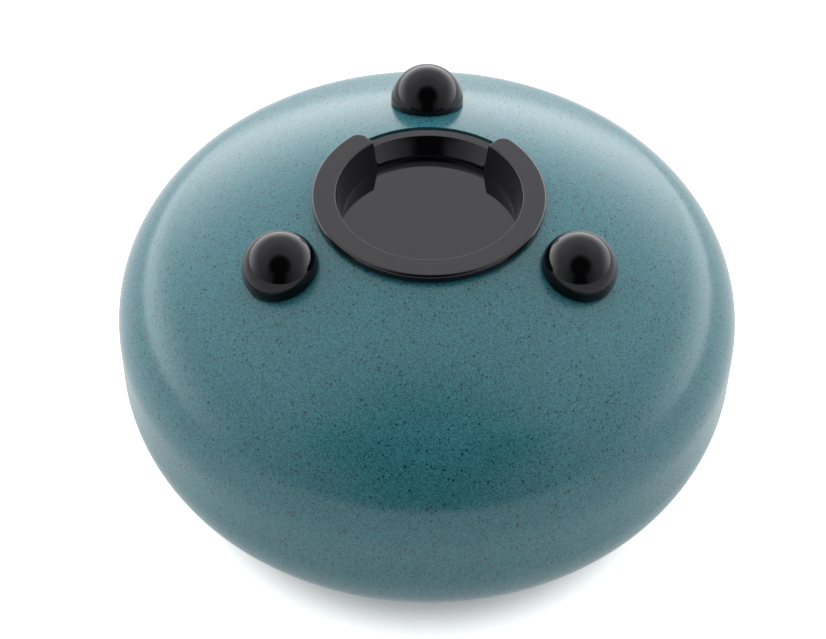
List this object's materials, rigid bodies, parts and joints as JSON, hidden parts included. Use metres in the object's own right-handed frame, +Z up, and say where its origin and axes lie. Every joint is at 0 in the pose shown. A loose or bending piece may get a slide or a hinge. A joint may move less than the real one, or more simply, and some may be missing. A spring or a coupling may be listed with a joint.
{
  "type": "tongue drum",
  "caption": "Steel tongue drum lying on its playing face: two domed halves joined by a seam weld, dome feet on the base, and a pull-out cup in the sound hole.",
  "frame": {"origin": "centre of the small flat on the crown of the playing face, on which the drum lies", "axes": "+Z up through the base and the sound hole, +Y towards the rear foot and the lip's gap, +X to the right seen from the front"},
  "size_m": [0.254, 0.254, 0.1531],
  "materials": {
    "blue_green_enamel": "glossy sprayed enamel with fine dark speckles",
    "black_rubber": "glossy moulded rubber",
    "black_plastic": "polished moulded plastic"
  },
  "bodies": {
    "root": {"base_shell": "blue_green_enamel", "playing_shell": "blue_green_enamel", "seam_weld": "blue_green_enamel", "rear_foot": "black_rubber", "left_foot": "black_rubber", "right_foot": "black_rubber"},
    "cup": {"sound_hole_cup": "black_plastic"}
  },
  "joints": [
    {"name": "cup_lift", "type": "slide", "parent": "root", "child": "cup", "axis": [0, 0, 1], "range_m": [0, 0.06]}
  ]
}
